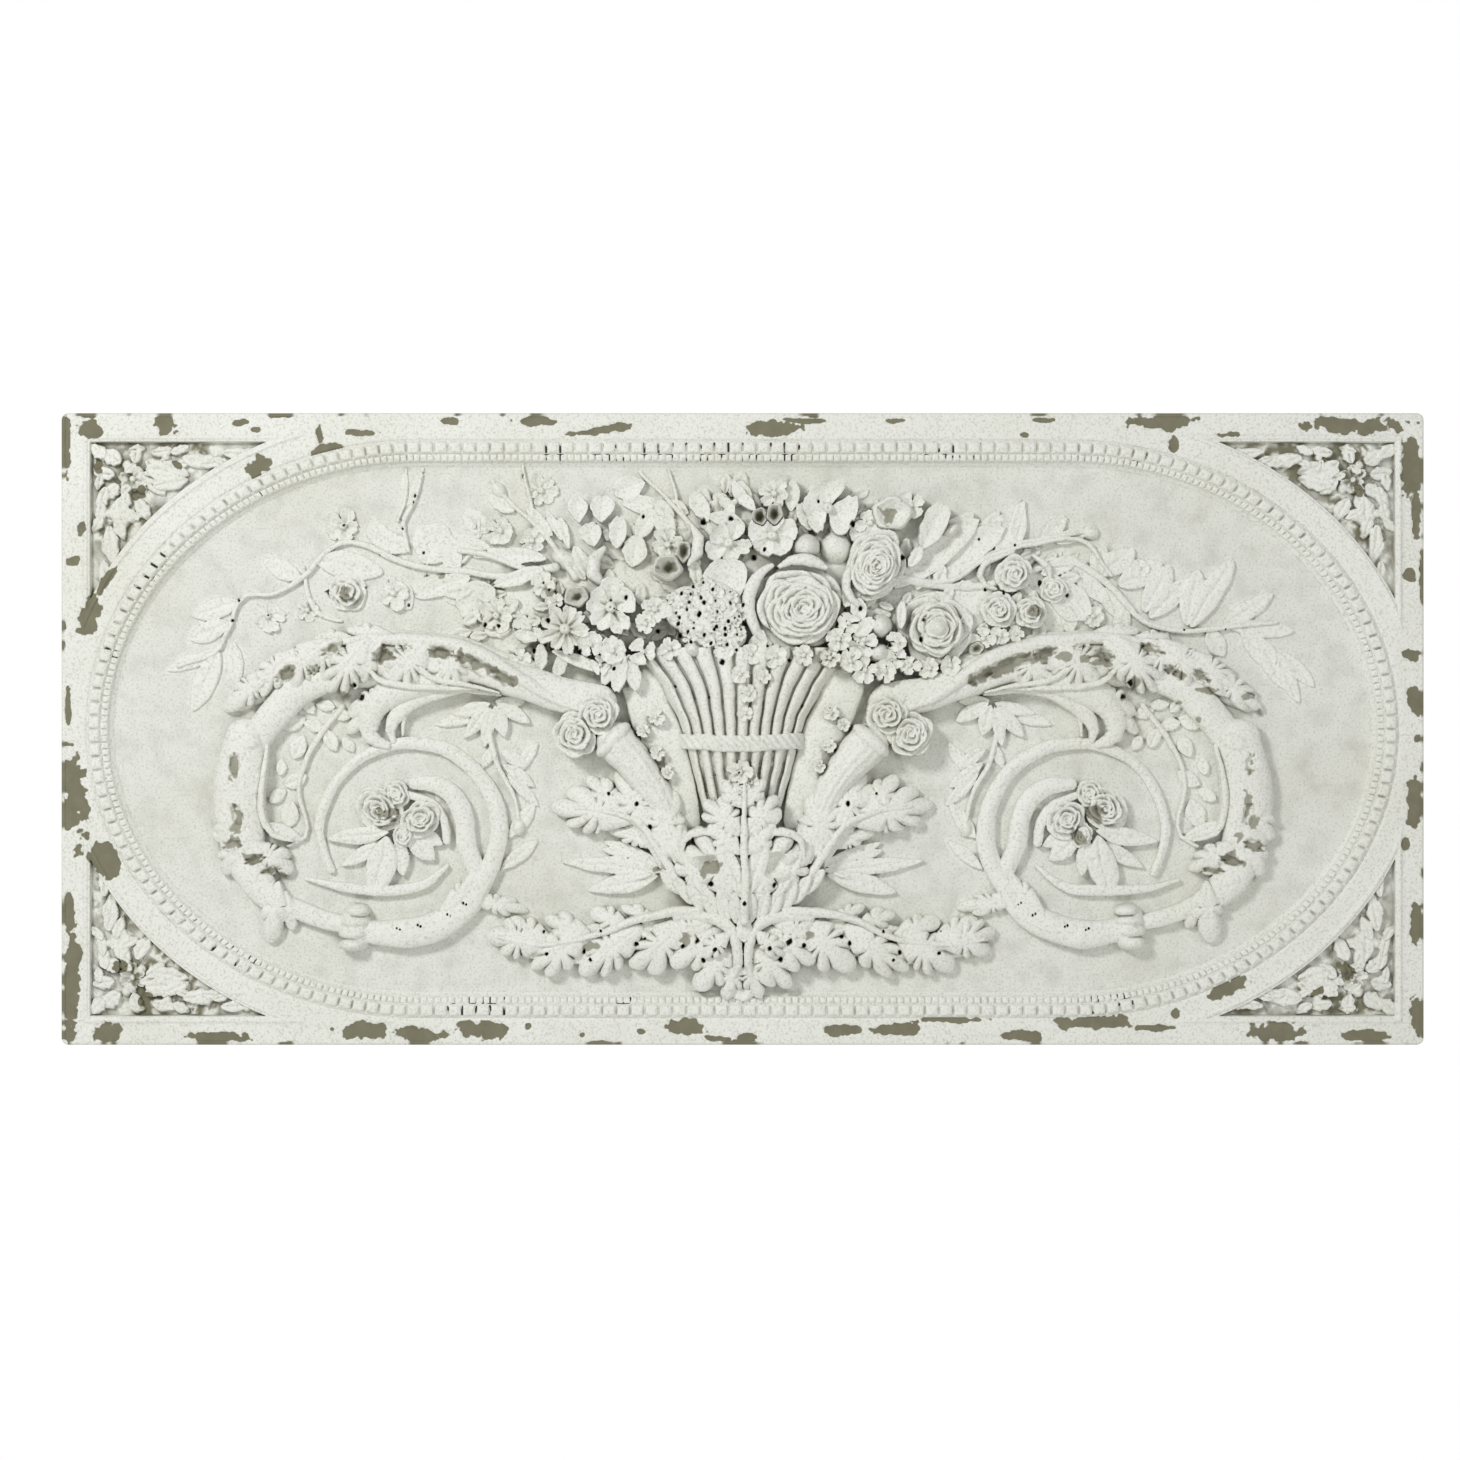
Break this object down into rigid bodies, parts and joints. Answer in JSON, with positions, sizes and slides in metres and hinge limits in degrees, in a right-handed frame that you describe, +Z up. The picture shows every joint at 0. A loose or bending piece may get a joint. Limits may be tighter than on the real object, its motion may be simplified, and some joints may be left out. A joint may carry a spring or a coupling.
{
  "type": "carved relief wall panel",
  "caption": "Oblong wall panel in relief: a flower basket between leafy scrolls in a beaded oval, with carved corners.",
  "frame": {"origin": "centre of the flat back, which lies against the wall", "axes": "+X to the right along the panel, +Z up, the carved face looks along -Y and +Y points into the wall"},
  "size_m": [1.35, 0.08, 0.626],
  "materials": {
    "worn_paint": "cream-white paint, worn through at the edges and high points to an olive-grey ground"
  },
  "bodies": {
    "root": {"relief_panel": "worn_paint"}
  },
  "joints": []
}
